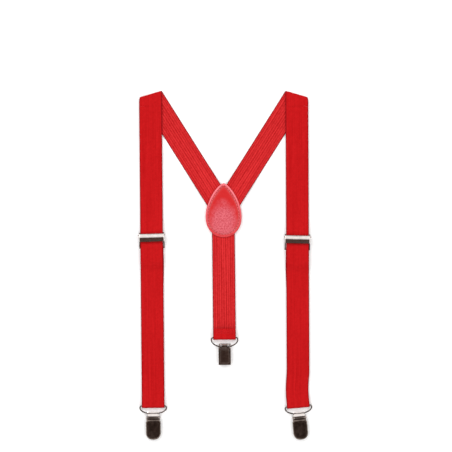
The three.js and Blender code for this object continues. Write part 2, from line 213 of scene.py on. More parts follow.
softbox("softbox_left", 13.0, (-1.2, 1.1, 1.4))
softbox("softbox_right", 7.0, (1.4, 0.5, 1.4))

floor_mesh = bpy.data.meshes.new("floor")
floor_half = 6.0                       # in metres
floor_mesh.from_pydata(
    [(-floor_half, -floor_half, 0), (floor_half, -floor_half, 0),
     (floor_half, floor_half, 0), (-floor_half, floor_half, 0)], [], [(0, 1, 2, 3)])
floor = bpy.data.objects.new("floor", floor_mesh)
scene.collection.objects.link(floor)
floor.location.z = -0.1 * MM
paper = new_material("white paper sweep")[0]
floor_mesh.materials.append(finished(paper, linear("#fafafa"), 0.9, specular=0.0))

# %% [markdown]
# ## How every piece is made
# A piece is one or more closed skins. A skin is a row of rings: arrays of points that
# are joined ring to ring by four-sided faces, with a fan at each end. All the points
# are worked out at once with numpy. The next cell has the few ways of making rings
# that the whole object needs.

# %% Rings into skins, skins into pieces
def skin(rings):
    """Points and faces of a closed skin over rings, an array (rings, points, 3). Each
    ring closes on itself, and the end rings get a fan to their middle."""
    count, size = rings.shape[:2]
    index = np.arange(count * size).reshape(count, size)
    beside = np.roll(index, -1, axis=1)
    quads = np.stack([index[:-1], beside[:-1], beside[1:], index[1:]], axis=-1)
    middles = rings[[0, -1]].mean(axis=1)
    first = np.stack([beside[0], index[0], np.full(size, count * size)], axis=-1)
    last = np.stack([index[-1], beside[-1], np.full(size, count * size + 1)], axis=-1)
    points = np.concatenate([rings.reshape(-1, 3), middles])
    return points, quads.reshape(-1, 4).tolist() + first.tolist() + last.tolist()


def piece(name, skins, material, sharp=35.0, weave=None):
    """One object from closed skins in millimetres. Its faces are turned outwards, and
    edges sharper than the angle stay crisp. weave is three numbers for each point, kept
    in the attribute that the webbing's and the leather's materials read."""
    points, faces, start = [], [], 0
    for skin_points, skin_faces in skins:
        points.append(skin_points)
        faces += [[corner + start for corner in face] for face in skin_faces]
        start += len(skin_points)
    mesh = bpy.data.meshes.new(name)
    mesh.from_pydata((np.concatenate(points) * MM).tolist(), [], faces)
    if weave is not None:
        held = mesh.attributes.new("weave", "FLOAT_VECTOR", "POINT")
        held.data.foreach_set("vector", np.asarray(weave, np.float32).ravel())
    work = bmesh.new()
    work.from_mesh(mesh)
    bmesh.ops.recalc_face_normals(work, faces=work.faces)
    work.to_mesh(mesh)
    work.free()
    mesh.polygons.foreach_set("use_smooth", np.ones(len(mesh.polygons), bool))
    mesh.set_sharp_from_angle(angle=math.radians(sharp))
    mesh.materials.append(material)
    made = bpy.data.objects.new(name, mesh)
    scene.collection.objects.link(made)
    return made


def smooth(value):
    """Rises from 0 to 1 as value goes from 0 to 1, level at both ends: 3v^2 - 2v^3."""
    value = np.clip(value, 0.0, 1.0)
    return value * value * (3.0 - 2.0 * value)


def eased(along, knots):
    """A height that passes through each (place, height) knot and eases in between."""
    places, heights = np.array(knots, float).T
    step = np.clip(np.searchsorted(places, along, side="right") - 1, 0, len(places) - 2)
    share = (along - places[step]) / (places[step + 1] - places[step])
    return heights[step] + (heights[step + 1] - heights[step]) * smooth(share)


def unit(vectors):
    """The vectors, each made one long."""
    return vectors / np.linalg.norm(vectors, axis=-1, keepdims=True)


def ways_of(path):
    """The way that a line of points heads at each of them, as unit vectors."""
    return unit(np.gradient(path, axis=0))


def offset(outline, distance):
    """A closed outline (points, 2) moved inwards. Each point goes along the mean of its
    two neighbours' normals; the outline runs anticlockwise."""
    along = unit(np.roll(outline, -1, axis=0) - np.roll(outline, 1, axis=0))
    inwards = np.stack([-along[:, 1], along[:, 0]], axis=1)
    return outline + inwards * distance


def rounded(corner_points, radii, steps=5):
    """A closed polygon with its corners rounded off, as (points, 2). Each corner is a
    quadratic curve between two points at its radius from the corner."""
    corners_at = np.array(corner_points, float)
    radii = np.broadcast_to(np.array(radii, float), len(corners_at))[:, None]
    start = corners_at + unit(np.roll(corners_at, 1, axis=0) - corners_at) * radii
    end = corners_at + unit(np.roll(corners_at, -1, axis=0) - corners_at) * radii
    t = np.linspace(0, 1, steps)[None, :, None]
    curve = (1 - t) ** 2 * start[:, None] + 2 * t * (1 - t) * corners_at[:, None]
    return (curve + t ** 2 * end[:, None]).reshape(-1, 2)


def rectangle(x, y, radii, steps=5):
    """A rectangle between two x and two y, with its corners rounded off."""
    return rounded([(x[0], y[0]), (x[1], y[0]), (x[1], y[1]), (x[0], y[1])], radii, steps)


WITHIN_RIM = 0.08               # how far inside a rim the ring lies that keeps a face flat


def sheet_metal(outline, low, high, edge=0.15):
    """Rings of a flat plate between two heights, with its rims rounded: a quarter
    circle at the bottom rim, and another at the top rim. A ring just inside each rim
    keeps the flat faces flat in the light."""
    turn = np.linspace(0, math.pi / 2, 4)
    within = [edge + WITHIN_RIM]
    insets = np.concatenate([within, edge * (1 - np.sin(turn)), edge * (1 - np.cos(turn)),
                             within])
    heights = np.concatenate([[low], low + edge * (1 - np.cos(turn)),
                              high - edge * (1 - np.sin(turn)), [high]])
    flats = [offset(outline, inset) for inset in insets]
    return np.stack([np.column_stack([flat, np.full(len(flat), height)])
                     for flat, height in zip(flats, heights)])


def flat_plate(x, y, low, high, radii, edge, steps=5):
    """A rectangular plate with rounded corners and rims, as one skin."""
    return skin(sheet_metal(rectangle(x, y, radii, steps), low, high, edge))


def side_plate(profile, x, half_thick, edge):
    """A plate that stands across X, as one skin. Its shape is a side view, (y, z)."""
    rings = sheet_metal(profile, x - half_thick, x + half_thick, edge)
    return skin(np.stack([rings[..., 2], rings[..., 0], rings[..., 1]], axis=-1))


def swept(profile, x, sizes, drops):
    """Rings of a side view (y, z) repeated at each x. There it is drawn in to its size
    about the mean of its points, and let down by its drop."""
    middle = profile.mean(axis=0)
    flat = middle + (profile - middle)[None] * sizes[:, None, None]
    flat = flat - np.array([0.0, 1.0]) * drops[:, None, None]
    return np.concatenate([np.repeat(x[:, None, None], len(profile), axis=1), flat], axis=2)


def carried(path, normals, section):
    """Rings of a section (points, 2) carried along a path (steps, 3). The section's
    first number goes along path direction x normal, and its second along the normal."""
    side = np.cross(ways_of(path), normals)
    return (path[:, None] + side[:, None] * section[None, :, :1]
            + normals[:, None] * section[None, :, 1:2])


def circle(radius, sides=16):
    """A circle's points, (sides, 2)."""
    turn = np.linspace(0, 2 * math.pi, sides, endpoint=False)
    return np.stack([np.cos(turn), np.sin(turn)], axis=1) * radius


ROD_SIDES = 20


def rod(half_length, radius, y, z, dome=0.3):
    """Rings of a rod across X with domed ends. Over each dome the place along X grows by
    the sine of an angle, and the radius shrinks as its cosine."""
    turn = np.linspace(0.0, math.pi / 2, 5)
    end_x = half_length - dome + dome * np.sin(turn)
    end_size = radius - dome + dome * np.cos(turn)
    x = np.concatenate([-end_x[::-1], end_x])
    size = np.concatenate([end_size[::-1], end_size])[:, None]
    ring = circle(1.0, ROD_SIDES)
    return np.stack([np.repeat(x[:, None], ROD_SIDES, axis=1), y + size * ring[:, 0],
                     z + size * ring[:, 1]], axis=-1)


def moved(rings, origin, side, top=UP):
    """Local points put in place: local x runs along side, z along top, and y along
    top x side."""
    forward = np.cross(top, side)
    return origin + rings[..., :1] * side + rings[..., 1:2] * forward + rings[..., 2:] * top


print("tools ready")

# %% [markdown]
# ## Which body each piece rides on
# Every finished piece stands for CAD nodes, so it can take its body from the first of
# them. The record lists each body's nodes.

# %% Standing in for CAD nodes
body_of_node = {member: body
                for body, members in frame["record"]["behaviour"]["bodies"].items()
                for member in members}


def stands_for(made, *nodes):
    """The piece rides on the first node's body, and replaces all of the nodes."""
    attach(made, body_of_node[nodes[0]])
    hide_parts(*nodes)


# %% [markdown]
# ## Elastic webbing: colour and weave
# Suspender webbing is knitted from dyed polyester yarn over rubber cords. Its outer
# face is close and smooth, and its inner face shows the cords as lengthwise ribs with a
# twill of fine stitches across them. The yarn is matt, so the red is deep and has no
# gloss. The weave attribute holds millimetres across, millimetres along and which face
# a point is on, so the pattern follows the strap round every fold.

# %% Webbing material
TWILL_PITCH = 1.4              # real twill is near 1 mm; coarser, so that it shows
RIB_PITCH = 2.45
BAND_SCALE = (0.55, 0.012, 1.0)  # uneven dyeing shows as long narrow bands
EDGE_SHADE_FROM = 11.5           # the painted edge shade starts this far from the middle


def maths(tree, operation, *values, **attributes):
    """The output of a Math node whose inputs are numbers or other nodes' outputs."""
    made = node(tree, "ShaderNodeMath", dict(enumerate(values)), operation=operation,
                **attributes)
    return made.outputs[0]


def noise(tree, vector, scale, detail=3.0):
    """Noise over a vector, with scale humps for each of the vector's units."""
    made = node(tree, "ShaderNodeTexNoise", {
        "Scale": scale, "Detail": detail, "Vector": vector})
    return made.outputs[0]


def mixed(tree, share, under, over):
    """The colour under with the colour over laid on it; share goes from 0 to 1."""
    made = node(tree, "ShaderNodeMix", {0: share, 6: under, 7: over}, data_type="RGBA")
    return made.outputs[2]


def knitted_webbing():
    """Red yarn: a darker smooth outer face, and a lighter ribbed twill inner face. The twill's dots
    are the sine of across plus along times the sine of across less along, and the cords are the
    size of the sine of across, which paints shade into the grooves between the ribs. Both edges get
    a painted dark shade."""
    material, tree = new_material("knitted polyester webbing")
    weave = node(tree, "ShaderNodeAttribute", attribute_name="weave").outputs["Vector"]
    over, along, face = node(tree, "ShaderNodeSeparateXYZ", {0: weave}).outputs
    rising, falling = [
        maths(tree, "SINE", maths(tree, "MULTIPLY", maths(tree, way, over, along),
                                  2 * math.pi / TWILL_PITCH))
        for way in ("ADD", "SUBTRACT")]
    dots = maths(tree, "MULTIPLY", rising, falling)
    bands = node(tree, "ShaderNodeMapping", {"Scale": BAND_SCALE, "Vector": weave})
    uneven = noise(tree, bands.outputs[0], 1.0)
    mottle = noise(tree, weave, 0.45, 4.0)
    tone = maths(tree, "ADD", maths(tree, "MULTIPLY", dots, 0.34),
                 maths(tree, "ADD", maths(tree, "MULTIPLY", uneven, 0.6),
                       maths(tree, "MULTIPLY", mottle, 0.4)))
    # Painted shade: the inner face's colour is darker in the grooves between the ribs and lighter
    # on the ribs.
    cords = maths(tree, "ABSOLUTE",
                  maths(tree, "SINE", maths(tree, "MULTIPLY", over, math.pi / RIB_PITCH)))
    ribbed = maths(tree, "ADD", tone, maths(tree, "MULTIPLY", cords, 0.31))
    outer = ramp(tree, tone, (0.25, linear("#9c080b")), (0.78, linear("#c21a1d")))
    inner = ramp(tree, ribbed, (0.48, linear("#980b0e")), (0.95, linear("#d43133")))
    facing = maths(tree, "ADD", maths(tree, "MULTIPLY", face, 0.5), 0.5)
    # Painted shade: a dark red band along both edges of the strap.
    edge = maths(tree, "GREATER_THAN", maths(tree, "ABSOLUTE", over), EDGE_SHADE_FROM)
    colour = mixed(tree, maths(tree, "MULTIPLY", edge, 0.7),
                   mixed(tree, facing, inner, outer), linear("#7a0a12"))
    return finished(material, colour, 0.85, specular=0.04,
                    relief=(0.5, 0.15, maths(tree, "MULTIPLY", dots, 0.5)))


webbing_finish = knitted_webbing()
print("material", webbing_finish.name)

# %% [markdown]
# ## Elastic webbing: its section
# The section is 25 mm by 1.2 mm. One face is flat, the other has ribs that are worked
# out from a sine, and the two selvedges are round. The section is carried along a path,
# which keeps the ribs on the same cords all the way.

# %% Webbing section
EDGE_ROUND = 0.5
RIB_DEPTH = 0.17
edge_turn = np.linspace(math.pi / 2, -math.pi / 2, 8)[1:-1]
flat_half = WEBBING_WIDTH / 2 - EDGE_ROUND
OUTER_POINTS, INNER_POINTS = 40, 84
outer_u = np.linspace(-flat_half, flat_half, OUTER_POINTS)
inner_u = np.linspace(flat_half, -flat_half, INNER_POINTS)
valley = 1 - np.abs(np.sin(math.pi * inner_u / RIB_PITCH)) ** 0.6
section_u = np.concatenate([
    outer_u, flat_half + EDGE_ROUND * np.cos(edge_turn),
    inner_u, -flat_half - EDGE_ROUND * np.cos(edge_turn)])
section_v = np.concatenate([
    np.full(OUTER_POINTS, TABLE_MID), TABLE_MID * np.sin(edge_turn),
    -TABLE_MID + RIB_DEPTH * valley, -TABLE_MID * np.sin(edge_turn)])
section_face = np.concatenate([
    np.ones(OUTER_POINTS), np.sin(edge_turn), -np.ones(INNER_POINTS), -np.sin(edge_turn)])
print("points in the section:", len(section_u))


def strap(name, rings, along, *nodes):
    """A webbing piece from its rings. along is how far each ring, or each point, is
    down the strap."""
    points, faces = skin(rings)
    walked = np.broadcast_to(np.asarray(along).reshape(len(rings), -1),
                             rings.shape[:2])
    weave = np.stack([np.broadcast_to(section_u, rings.shape[:2]), walked,
                      np.broadcast_to(section_face, rings.shape[:2])], axis=-1)
    ends = weave[[0, -1]].mean(axis=1)
    made = piece(name, [(points, faces)], webbing_finish, sharp=60.0,
                 weave=np.concatenate([weave.reshape(-1, 3), ends]))
    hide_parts(*nodes)
    return made


def walk(points):
    """How far along a line of points each one is."""
    steps = np.linalg.norm(np.diff(points, axis=0), axis=1)
    return np.concatenate([[0.0], np.cumsum(steps)])


BEND_STEPS = 14


def bend(centre_r, centre_z, radius, start, stop):
    """Side-view points (distance, height) on an arc between two angles in degrees."""
    turn = np.radians(np.linspace(start, stop, BEND_STEPS))
    return np.column_stack([centre_r + radius * np.cos(turn), centre_z + radius * np.sin(turn)])


def laid(path, outer_side, at, down, turns=()):
    """Rings of webbing along a side-view path of (distance down, height). outer_side is
    +1 where the outer face is on the left of the way the path goes. Each turn is
    (centre, angle, share for each ring), and turns rings about an upright line."""
    ahead = ways_of(path)
    out = np.column_stack([-ahead[:, 1], ahead[:, 0]]) * outer_side
    side = np.array([-down[1], down[0], 0.0])
    middle = at + path[:, :1] * down + path[:, 1:] * UP
    normal = out[:, :1] * down + out[:, 1:] * UP
    rings = (middle[:, None] + side * section_u[None, :, None]
             + normal[:, None] * section_v[None, :, None])
    for centre, angle, share in turns:
        turn = (angle * share)[:, None]
        x, y = rings[..., 0] - centre[0], rings[..., 1] - centre[1]
        rings = np.stack([centre[0] + np.cos(turn) * x - np.sin(turn) * y,
                          centre[1] + np.sin(turn) * x + np.cos(turn) * y,
                          rings[..., 2]], axis=-1)
    return rings


def heading(vector):
    """The angle of a level vector, in radians."""
    return math.atan2(vector[1], vector[0])


# %% [markdown]
# ## The straps
# Each side is one long strap: it starts in the patch, runs up the back to the shoulder, folds over
# there, runs down through the adjuster and round the clip's loop, and comes back up behind to the
# adjuster. It is made in three pieces, because the adjuster and the loop slide: one piece stays
# with the patch, and the other two meet below the adjuster. The fold at the shoulder rolls the flat
# strap round a slanted crease, so nothing stretches: a point's distance past the crease becomes an
# arc of a small radius, and then runs back over the strap.

# %% The strap over each shoulder
SHOULDER = {"left": np.array([-80.5, 96.8]), "right": np.array([80.5, 96.8])}
patch_point = np.array([patch_x, patch_top])
SEWN_IN_Z = 1.5                 # underside of the straps between the two leathers
SHOULDER_Z = 1.6                # underside of the front strap over the back strap
RAMP = (34.0, 62.0)             # where the strap comes down from the patch to the table
MITRE_BELOW = 40.0              # the straps' lower cut, under the patch's point
CUT = 12.0                      # the fixed piece ends this far down the front
fold_radius = SHOULDER_Z / 2     # from one layer's middle to the other's is SHOULDER_Z
STEP = 1.5                      # between rings along a strap
FOLD_STEP = 0.25                # between rings near the fold
BEFORE_FOLD, AFTER_FOLD = 6, 8  # near is from this far before it to this far after
MIDDLE_GAP = 0.15               # from the patch's middle to each strap's cut
CORNER_TUCK = 1.3               # how far the fold's outer corner is rounded off
TUCK_REACH = 2.6                # how far from the crease the rounding dies away
TUCK_FROM, TUCK_OVER = 5.5, 7.5  # it starts this far out, and grows over this distance


def over_the_shoulder(side):
    """Rings from the patch up the back, round the crease, and down the front to CUT. The
    crease halves the angle between the two runs. A point's distance past it, over the
    fold's radius, is the angle that it has gone round."""
    down = direction(f"{side}_adjuster_slide")[:2]
    crease = patch_point + SHOULDER[side]
    back = crease - YOKE
    length = np.linalg.norm(back)
    back = back / length
    normal = unit(back - down)
    front_side = np.array([-down[1], down[0]])
    back_side = front_side - 2 * (front_side @ normal) * normal
    crease_way = np.array([-normal[1], normal[0]])
    slip = math.pi * fold_radius * (back @ crease_way) / (back @ normal)
    sideways = -slip * crease_way

    gap = MIDDLE_GAP if side == "right" else -MIDDLE_GAP
    from_middle = (patch_x + gap - YOKE[0] - sideways[0]
                   - back_side[0] * section_u) / back[0]
    from_mitre = (patch_top - MITRE_BELOW - YOKE[1] - sideways[1]
                  - back_side[1] * section_u) / back[1]
    start = np.maximum(from_middle, from_mitre)
    share = np.linspace(0, 1, 30)[:, None]
    reach_to = length + CUT + math.pi * fold_radius
    beyond = np.concatenate([
        np.arange(RAMP[0] + STEP, length - BEFORE_FOLD, STEP),
        np.arange(length - BEFORE_FOLD, length + AFTER_FOLD, FOLD_STEP),
        np.linspace(length + AFTER_FOLD, reach_to, 6)])
    along = np.concatenate([start * (1 - share) + RAMP[0] * share,
                            np.repeat(beyond[:, None], len(section_u), axis=1)])

    flat = (YOKE + sideways + along[..., None] * back
            + section_u[None, :, None] * back_side)
    past = (flat - crease) @ normal
    turn = np.clip(past / fold_radius, 0, math.pi)
    folded = np.where(past < 0, past, np.where(past < math.pi * fold_radius,
                      fold_radius * np.sin(turn), math.pi * fold_radius - past))
    level = flat + (folded - past)[..., None] * normal
    away = np.sign(crease_way[0] * (crease[0] - patch_x))
    outwards = (flat - crease) @ crease_way * away
    tuck = (CORNER_TUCK * np.exp(-(past / TUCK_REACH) ** 2)
            * smooth((outwards - TUCK_FROM) / TUCK_OVER))
    level = level - (tuck * away)[..., None] * crease_way
    lift = eased(np.clip(along, 0.0, RAMP[1]), [(0, SEWN_IN_Z), (RAMP[0], SEWN_IN_Z),
                                                (RAMP[1] + 0.01, 0.0)])
    height = TABLE_MID + lift + fold_radius * (1 - np.cos(turn))
    outward = np.concatenate([np.sin(turn)[..., None] * normal,
                              -np.cos(turn)[..., None]], axis=-1)
    middle = np.concatenate([level, height[..., None]], axis=-1)
    return middle + outward * section_v[None, :, None], along, reach_to


shoulder_end = {}
for side in ("left", "right"):
    rings, along, shoulder_end[side] = over_the_shoulder(side)
    made = strap(f"{side}_shoulder_webbing", rings, along,
                 f"{side}_back_strap", f"{side}_shoulder_fold")
    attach(made, "root")

# %% [markdown]
# The front strap's side view is a list of places and heights: it lies on the back
# strap, rises under the lever's cam, passes over the sewn flap of its own tail, and
# comes down again. Then it turns round the loop's bar and goes back up underneath.

# %% The front straps and their tails
UNDER_CAM_Z, OVER_FLAP_Z, OVER_TAIL_Z, LOOP_TOP_Z = 2.9, 4.4, 1.8, 3.5
BAR_BEND = 1.6                  # middle of the webbing round the loop's bar
FRAME_BEND = 1.3                # and round the adjuster's lower bar
FRAME_BAR = 13.0                # that bar is this far below the lever's pivot
FRAME_BAR_Z = 2.2
FLAP = 12.0                     # from that bar to the tail's cut end
FLAP_STEPS = 9                  # rings along a sewn end
HANDOVER = 32.0                 # below the pivot: here the upper piece gives way
BAR_GAP = 0.3                   # a straight run stops this short of its bend

for side in ("left", "right"):
    down = direction(f"{side}_adjuster_slide")
    crease = np.array([*(patch_point + SHOULDER[side]), 0.0])
    pivot = place(f"{side}_adjuster_lever_hinge")
    bar = place(f"{side}_loop_swing")
    adjuster_at = (pivot - crease) @ down
    length = (bar - crease) @ down          # from the crease to the loop's bar
    square = heading(np.array([-down[1], down[0]]))
    adjuster_turn = heading(-direction(f"{side}_adjuster_lever_hinge")) - square
    end_turn = heading(-direction(f"{side}_loop_swing")) - square

    # (how far down, height of the strap's underside): over the back strap, under the
    # cam, over the flap, over the tail, and up to the loop's bar.
    knots = [(0, SHOULDER_Z), (adjuster_at - 25, SHOULDER_Z), (adjuster_at - 5, UNDER_CAM_Z),
             (adjuster_at + 2, UNDER_CAM_Z), (adjuster_at + 10.5, OVER_FLAP_Z),
             (adjuster_at + 27.5, OVER_FLAP_Z), (adjuster_at + 40.5, OVER_TAIL_Z),
             (length - 20, OVER_TAIL_Z), (length - 4, LOOP_TOP_Z),
             (length + 1, LOOP_TOP_Z)]
    handover = adjuster_at + HANDOVER
    upper_r = np.linspace(CUT, handover, round((handover - CUT) / STEP))
    upper = np.column_stack([upper_r, eased(upper_r, knots) + TABLE_MID])
    made = strap(f"{side}_front_webbing", laid(upper, 1, crease, down),
                 shoulder_end[side] + walk(upper), f"{side}_front_strap")
    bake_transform(made)

    lower_r = np.linspace(handover, length - BAR_GAP, round((length - handover) / STEP))
    tail_end = adjuster_at + FRAME_BAR
    tail_r = np.linspace(length - BAR_GAP, tail_end + BAR_GAP,
                         round((length - tail_end) / STEP))
    flap_r = np.linspace(tail_end + BAR_GAP, tail_end + FLAP, FLAP_STEPS)
    lower = np.concatenate([
        np.column_stack([lower_r, eased(lower_r, knots) + TABLE_MID]),
        bend(length, bar[2], BAR_BEND, 90, -90),
        np.column_stack([tail_r, np.full(len(tail_r), bar[2] - BAR_BEND)]),
        bend(tail_end, FRAME_BAR_Z, FRAME_BEND, 270, 90),
        np.column_stack([flap_r, np.full(FLAP_STEPS, FRAME_BAR_Z + FRAME_BEND)])])
    behind = np.arange(len(lower)) > len(lower_r) + BEND_STEPS // 2
    turns = [(bar, end_turn, smooth((lower[:, 0] - length + 40) / 34)),
             (pivot, adjuster_turn, behind * smooth((adjuster_at + 60 - lower[:, 0]) / 34))]
    made = strap(f"{side}_loop_webbing", laid(lower, 1, crease, down, turns),
                 shoulder_end[side] + upper_r[-1] - CUT + walk(lower),
                 f"{side}_strap_end_fold", f"{side}_tail_strap", f"{side}_tail_end_loop")
    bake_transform(made)
    print(side, "cut length", round(shoulder_end[side] + upper_r[-1] - CUT + walk(lower)[-1]), "mm")

# %% [markdown]
# The back strap hangs from the patch with its ribs up. It goes under the loop's bar,
# turns up round it, and is hemmed on top, where its smooth outer face shows.

# %% The back strap
HEM = 10.2                      # from the bar to the hem's cut end
back_bar = place("back_loop_swing")
back_square = -direction("back_loop_swing")
back_down = np.array([back_square[1], -back_square[0], 0.0])
back_length = corners("back_strap")[1][1] - back_bar[1]
back_r = np.linspace(-back_length, -BAR_GAP, round(back_length / STEP))
hem_r = np.linspace(-BAR_GAP, -HEM, FLAP_STEPS)
back_path = np.concatenate([
    np.column_stack([back_r, np.full(len(back_r), back_bar[2] - BAR_BEND)]),
    bend(0, back_bar[2], BAR_BEND, -90, 90),
    np.column_stack([hem_r, np.full(FLAP_STEPS, back_bar[2] + BAR_BEND)])])
level_bar = np.array([back_bar[0], back_bar[1], 0.0])
made = strap("back_webbing", laid(back_path, -1, level_bar, back_down), walk(back_path),
             "back_strap", "back_strap_hem")
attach(made, "root")
print("back strap cut length", round(walk(back_path)[-1]), "mm")

# %% [markdown]
# ## The leather patch
# Two teardrops of finished leather are sewn together over the ends of the three
# straps. The press leaves a raised rim, a groove for the seam, and a slightly domed
# middle. The skin is lofted: rings go from the outline to an inner outline, and from
# there shrink to the middle, while a profile gives their height.

# %% Leather material
GRAIN_AND_SHEEN_MIDDLE = 44.0           # the middle of the grained field with its painted pale sheen, below the patch's point
GRAIN_AND_SHEEN_HALF = (15.5, 25.0)     # how far it reaches across and along


def finished_leather():
    """Coated split leather: glossy, smooth near the point, and grained below, where a pale sheen is
    painted. The grained field with its painted sheen is where 1.1 less the distance from its
    middle, which is 1 at its edge, plus noise is high. The rim's crest gets a painted highlight
    that grows towards the point, and the seam's groove gets painted shade."""
    material, tree = new_material("coated split leather")
    spot = node(tree, "ShaderNodeTexCoord").outputs["Object"]
    level = node(tree, "ShaderNodeSeparateXYZ", {0: spot}).outputs[1]
    # How far up the patch a point is: the painted highlight on the rim grows towards the point.
    high = maths(tree, "MULTIPLY", maths(tree, "SUBTRACT", level, (patch_top - 46.0) * MM),
                 1 / (38 * MM))
    half_x, half_y = GRAIN_AND_SHEEN_HALF
    centred = node(tree, "ShaderNodeMapping", {
        "Location": (-patch_x / half_x, -(patch_top - GRAIN_AND_SHEEN_MIDDLE) / half_y, 0),
        "Scale": (1 / (half_x * MM), 1 / (half_y * MM), 0), "Vector": spot})
    far = node(tree, "ShaderNodeVectorMath", {0: centred.outputs[0]}, operation="LENGTH")
    near = maths(tree, "SUBTRACT", 1.1, far.outputs["Value"])
    ragged = maths(tree, "ADD", near, maths(tree, "MULTIPLY", noise(tree, spot, 140.0), 0.55))
    # The field where the grain is raised and where a pale sheen is painted.
    grain_and_painted_sheen_field = ramp(tree, maths(tree, "SUBTRACT", ragged, 0.27), (0.0, linear("#000000")),
                 (0.5, linear("#ffffff")))
    grain = node(tree, "ShaderNodeTexVoronoi", {"Scale": 1 / (1.6 * MM), "Vector": spot})
    specks = noise(tree, spot, 1 / (1.4 * MM), 4.0)
    # Painted sheen: a paler, speckled colour in place of the soft reflection on the lower leather.
    pale = ramp(tree, specks, (0.36, linear("#b63843")), (0.66, linear("#d4656f")))
    marks = node(tree, "ShaderNodeAttribute", attribute_name="weave").outputs["Vector"]
    rim, crest, groove = node(tree, "ShaderNodeSeparateXYZ", {0: marks}).outputs
    # Painted highlight: a light pink on the rim's crest, stronger towards the point.
    wear = maths(tree, "MULTIPLY", crest, maths(tree, "ADD", high, 0.12), use_clamp=True)
    # The painted sheen laid over the red within its field.
    colour = mixed(tree, grain_and_painted_sheen_field, linear("#be1114"), pale)
    # The rim's own tint, then the painted highlight on its crest, then painted shade in the seam's
    # groove.
    for share, over in ((rim, "#c72c32"), (wear, "#e06e77"),
                        (maths(tree, "MULTIPLY", groove, 0.55), "#8a0c14")):
        colour = mixed(tree, share, colour, linear(over))
    crease = maths(tree, "MULTIPLY", maths(tree, "ADD", grain.outputs[0], specks), grain_and_painted_sheen_field)
    return finished(material, colour, 0.33, specular=0.45, relief=(0.55, 0.25, crease))


leather_finish = finished_leather()

# %% The two leathers
OUTLINE_POINTS = 168


def teardrop(top, half_width, bottom, blunt, widest=-37.0):
    """An outline (points, 2) below the patch's point: a Bezier curve from the top to
    the widest place, another from there to the bottom, and their mirror image."""
    drop = widest - bottom
    t = np.linspace(0, 1, OUTLINE_POINTS // 4, endpoint=False)[:, None]

    def bezier(a, b, c, d):
        a, b, c, d = (np.array(p, float) for p in (a, b, c, d))
        return (1 - t) ** 3 * a + 3 * t * (1 - t) ** 2 * b + 3 * t * t * (1 - t) * c + t ** 3 * d

    left = np.concatenate([
        bezier((0, top), (-blunt, top), (-half_width, top * 0.4 - 18), (-half_width, widest)),
        bezier((-half_width, widest), (-half_width, widest - 0.6 * drop),
               (-0.55 * half_width, bottom), (0, bottom))])
    right = np.concatenate([[[0, bottom]], left[:0:-1] * [-1, 1]])
    return np.concatenate([left, right])


outline = teardrop(0.0, 19.8, -59.5, 6.0)
seam = teardrop(-2.7, 17.2, -56.0, 2.4)
MIDDLE = np.array([0.0, -35.0])
# Each profile is a row of (share of the way in, share of the thickness): over the hidden
# face, from the outline to the seam, and from the seam to the middle.
HIDDEN = [(0.94, 0.0), (0.075, 0.0), (0.012, 0.05), (0.0, 0.2)]
RIM = [(0.0, 0.42), (0.03, 0.62), (0.1, 0.82), (0.22, 0.97), (0.4, 1.06), (0.58, 1.02),
       (0.74, 0.86), (0.86, 0.62), (0.94, 0.54), (1.0, 0.56)]
FIELD = [(0.03, 0.72), (0.07, 0.88), (0.13, 0.97), (0.25, 1.02), (0.45, 1.07), (0.7, 1.1),
         (0.94, 1.1)]


def leather(name, base, thick, upside, node_name):
    """A leather whose finished face is up (1) or down (-1) from its base height. Its three marks
    say where the rim is, where its crest takes a painted highlight, and where the seam's groove
    takes painted shade."""
    levels = [(start * (1 - share) + end * share, rise)
              for start, end, profile in ((outline, MIDDLE, HIDDEN), (outline, seam, RIM),
                                          (seam, MIDDLE, FIELD))
              for share, rise in profile]
    rings = np.stack([np.column_stack([flat + patch_point,
                                       np.full(len(flat), base + upside * thick * rise)])
                      for flat, rise in levels])
    points, faces = skin(rings)
    on_rim = [share for share, _ in RIM]
    rim = [1.0] * (len(HIDDEN) + len(RIM)) + [0.0] * len(FIELD)
    # Rings along the rim's crest, which take a painted highlight.
    painted_highlight_rings = [0.0] * len(HIDDEN) + [float(0.1 < s < 0.6) for s in on_rim] + [0.0] * len(FIELD)
    # Rings in the seam's groove, which take painted shade.
    groove = ([0.0] * len(HIDDEN) + [float(s > 0.8) for s in on_rim]
              + [0.6] + [0.0] * (len(FIELD) - 1))
    marks = np.zeros((len(points), 3))
    marks[:-2] = np.repeat(np.column_stack([rim, painted_highlight_rings, groove]), OUTLINE_POINTS, axis=0)
    made = piece(name, [(points, faces)], leather_finish, sharp=50.0, weave=marks)
    stands_for(made, node_name)


leather("inner_leather", patch_low[2], 1.3, 1, "patch_inner_leather")
leather("outer_leather", outer_high[2], 1.05, -1, "patch_outer_leather")
print("leathers made")

# %% [markdown]
# ## Thread
# The seams are sewn with bonded polyester thread. A stitch shows as a short hump of
# thread that goes down at both ends, so each one is a little arched rod. There is one
# function for all the rows, which takes the places and the ways of the stitches.

# %% Stitches
def sewing_thread(name, dark, pale):
    """Twisted thread: satin, with the twist as fine slanting bands."""
    material, tree = new_material(name)
    spot = node(tree, "ShaderNodeTexCoord").outputs["Object"]
    twist = node(tree, "ShaderNodeTexWave", {
        "Scale": 1 / (0.7 * MM), "Distortion": 1.0, "Vector": spot},
        bands_direction="DIAGONAL")
    shade = ramp(tree, twist.outputs[0], (0.0, linear(dark)), (1.0, linear(pale)))
    return finished(material, shade, 0.6, specular=0.15)


